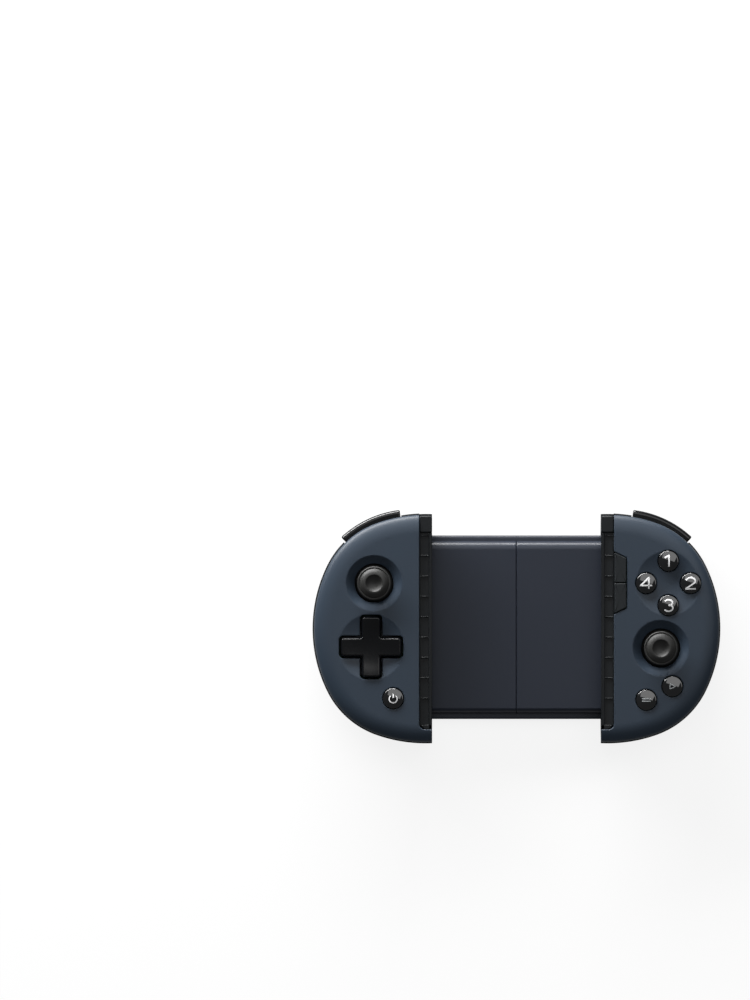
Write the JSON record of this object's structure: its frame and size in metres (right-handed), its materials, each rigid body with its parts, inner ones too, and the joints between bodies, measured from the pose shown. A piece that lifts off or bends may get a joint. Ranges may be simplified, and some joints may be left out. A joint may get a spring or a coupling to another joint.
{
  "type": "mobile game controller",
  "caption": "Stretching phone game controller: two rounded handles with sticks, a cross pad and buttons, joined by a telescoping bridge that clamps a phone between ribbed jaws.",
  "frame": {"origin": "middle of the closed controller's footprint, on the surface under its rear shells", "axes": "+X along the stretch, towards the handle with the four face buttons; +Y towards the shoulder keys; +Z out of the front face"},
  "size_m": [0.1832, 0.1049, 0.03],
  "materials": {
    "slate_shell": "soft-touch matte",
    "charcoal_shell": "fine matte",
    "bridge_grey": "satin",
    "pad_rubber": "matte",
    "stick_rubber": "matte",
    "pad_black": "satin",
    "gloss_black": "gloss",
    "steel": "bright",
    "board_green": "solder mask",
    "silicone": "matte",
    "cell_foil": "foil",
    "module_black": "matte",
    "acetal": "natural",
    "ribbon_amber": "film"
  },
  "bodies": {
    "bridge_core": {"slide_tray": "bridge_grey", "slide_lid": "bridge_grey", "left_springs": "steel", "right_springs": "steel"},
    "left_half": {"left_front_shell": "slate_shell", "left_rear_shell": "charcoal_shell", "left_jaw": "charcoal_shell", "left_jaw_pad": "pad_rubber", "left_bridge_cover": "bridge_grey", "left_bridge_tray": "bridge_grey", "left_board": "board_green", "battery": "cell_foil", "cross_membrane": "silicone", "left_stick_module": "module_black", "cross_post": "acetal", "left_screws": "steel", "left_trigger_pin": "steel", "left_switch_board": "board_green", "left_ribbon": "ribbon_amber"},
    "left_gimbal": {"left_stick_ring": "acetal"},
    "left_stick": {"left_stick_shaft": "steel", "left_stick_cap": "stick_rubber"},
    "cross_pivot": {"cross_ball": "steel"},
    "cross_pad": {"cross_pad": "pad_black"},
    "home_button": {"home_button": "gloss_black"},
    "left_bumper": {"left_bumper": "gloss_black"},
    "left_trigger": {"left_trigger": "gloss_black"},
    "right_half": {"right_front_shell": "slate_shell", "right_rear_shell": "charcoal_shell", "right_jaw": "charcoal_shell", "right_jaw_pad": "pad_rubber", "right_bridge_cover": "bridge_grey", "right_bridge_tray": "bridge_grey", "right_board": "board_green", "charge_socket": "steel", "face_membrane": "silicone", "menu_membrane": "silicone", "right_stick_module": "module_black", "right_screws": "steel", "right_trigger_pin": "steel", "right_switch_board": "board_green", "right_ribbon": "ribbon_amber"},
    "right_gimbal": {"right_stick_ring": "acetal"},
    "right_stick": {"right_stick_shaft": "steel", "right_stick_cap": "stick_rubber"},
    "north_button": {"north_button": "gloss_black"},
    "east_button": {"east_button": "gloss_black"},
    "south_button": {"south_button": "gloss_black"},
    "west_button": {"west_button": "gloss_black"},
    "upper_menu_button": {"upper_menu_button": "gloss_black"},
    "lower_menu_button": {"lower_menu_button": "gloss_black"},
    "upper_side_key": {"upper_side_key": "charcoal_shell"},
    "lower_side_key": {"lower_side_key": "charcoal_shell"},
    "right_bumper": {"right_bumper": "gloss_black"},
    "right_trigger": {"right_trigger": "gloss_black"}
  },
  "joints": [
    {"name": "left_stretch", "type": "slide", "parent": "bridge_core", "child": "left_half", "axis": [-1, 0, 0], "range_m": [0, 0.044], "stiffness_N_per_m": 120, "springref_m": -0.03, "deforming": ["left_springs", "left_ribbon"]},
    {"name": "right_stretch", "type": "slide", "parent": "bridge_core", "child": "right_half", "axis": [1, 0, 0], "range_m": [0, 0.044], "stiffness_N_per_m": 120, "springref_m": -0.03, "deforming": ["right_springs", "right_ribbon"]},
    {"name": "left_stick_x", "type": "hinge", "parent": "left_half", "child": "left_gimbal", "pos_m": [-0.0641, 0.01954, 0.0152], "axis": [0, 1, 0], "range_deg": [-15, 15], "stiffness_Nm_per_rad": 0.03},
    {"name": "left_stick_y", "type": "hinge", "parent": "left_gimbal", "child": "left_stick", "pos_m": [-0.0641, 0.01954, 0.0152], "axis": [1, 0, 0], "range_deg": [-15, 15], "stiffness_Nm_per_rad": 0.03},
    {"name": "right_stick_x", "type": "hinge", "parent": "right_half", "child": "right_gimbal", "pos_m": [0.0648, -0.00966, 0.0152], "axis": [0, 1, 0], "range_deg": [-15, 15], "stiffness_Nm_per_rad": 0.03},
    {"name": "right_stick_y", "type": "hinge", "parent": "right_gimbal", "child": "right_stick", "pos_m": [0.0648, -0.00966, 0.0152], "axis": [1, 0, 0], "range_deg": [-15, 15], "stiffness_Nm_per_rad": 0.03},
    {"name": "cross_rock_x", "type": "hinge", "parent": "left_half", "child": "cross_pivot", "pos_m": [-0.0654, -0.00916, 0.0186], "axis": [0, 1, 0], "range_deg": [-4, 4], "stiffness_Nm_per_rad": 0.1},
    {"name": "cross_rock_y", "type": "hinge", "parent": "cross_pivot", "child": "cross_pad", "pos_m": [-0.0654, -0.00916, 0.0186], "axis": [1, 0, 0], "range_deg": [-4, 4], "stiffness_Nm_per_rad": 0.1},
    {"name": "home_press", "type": "slide", "parent": "left_half", "child": "home_button", "axis": [0, 0, -1], "range_m": [0, 0.001], "stiffness_N_per_m": 600},
    {"name": "north_press", "type": "slide", "parent": "right_half", "child": "north_button", "axis": [0, 0, -1], "range_m": [0, 0.001], "stiffness_N_per_m": 600},
    {"name": "east_press", "type": "slide", "parent": "right_half", "child": "east_button", "axis": [0, 0, -1], "range_m": [0, 0.001], "stiffness_N_per_m": 600},
    {"name": "south_press", "type": "slide", "parent": "right_half", "child": "south_button", "axis": [0, 0, -1], "range_m": [0, 0.001], "stiffness_N_per_m": 600},
    {"name": "west_press", "type": "slide", "parent": "right_half", "child": "west_button", "axis": [0, 0, -1], "range_m": [0, 0.001], "stiffness_N_per_m": 600},
    {"name": "upper_menu_press", "type": "slide", "parent": "right_half", "child": "upper_menu_button", "axis": [0, 0, -1], "range_m": [0, 0.001], "stiffness_N_per_m": 600},
    {"name": "lower_menu_press", "type": "slide", "parent": "right_half", "child": "lower_menu_button", "axis": [0, 0, -1], "range_m": [0, 0.001], "stiffness_N_per_m": 600},
    {"name": "upper_side_press", "type": "slide", "parent": "right_half", "child": "upper_side_key", "axis": [0, 0, -1], "range_m": [0, 0.0008], "stiffness_N_per_m": 600},
    {"name": "lower_side_press", "type": "slide", "parent": "right_half", "child": "lower_side_key", "axis": [0, 0, -1], "range_m": [0, 0.0008], "stiffness_N_per_m": 600},
    {"name": "left_bumper_press", "type": "hinge", "parent": "left_half", "child": "left_bumper", "pos_m": [-0.05333, 0.0463, 0.0145], "axis": [0, 0, 1], "range_deg": [0, 2.5], "stiffness_Nm_per_rad": 1},
    {"name": "right_bumper_press", "type": "hinge", "parent": "right_half", "child": "right_bumper", "pos_m": [0.05333, 0.0463, 0.0145], "axis": [0, 0, -1], "range_deg": [0, 2.5], "stiffness_Nm_per_rad": 1},
    {"name": "right_trigger_pull", "type": "hinge", "parent": "right_half", "child": "right_trigger", "pos_m": [0.06336, 0.04087, 0.0096], "axis": [-0.9056, 0.4241, 0], "range_deg": [0, 8], "stiffness_Nm_per_rad": 0.15},
    {"name": "left_trigger_pull", "type": "hinge", "parent": "left_half", "child": "left_trigger", "pos_m": [-0.06336, 0.04087, 0.0096], "axis": [-0.9056, -0.4241, 0], "range_deg": [0, 8], "stiffness_Nm_per_rad": 0.15}
  ]
}
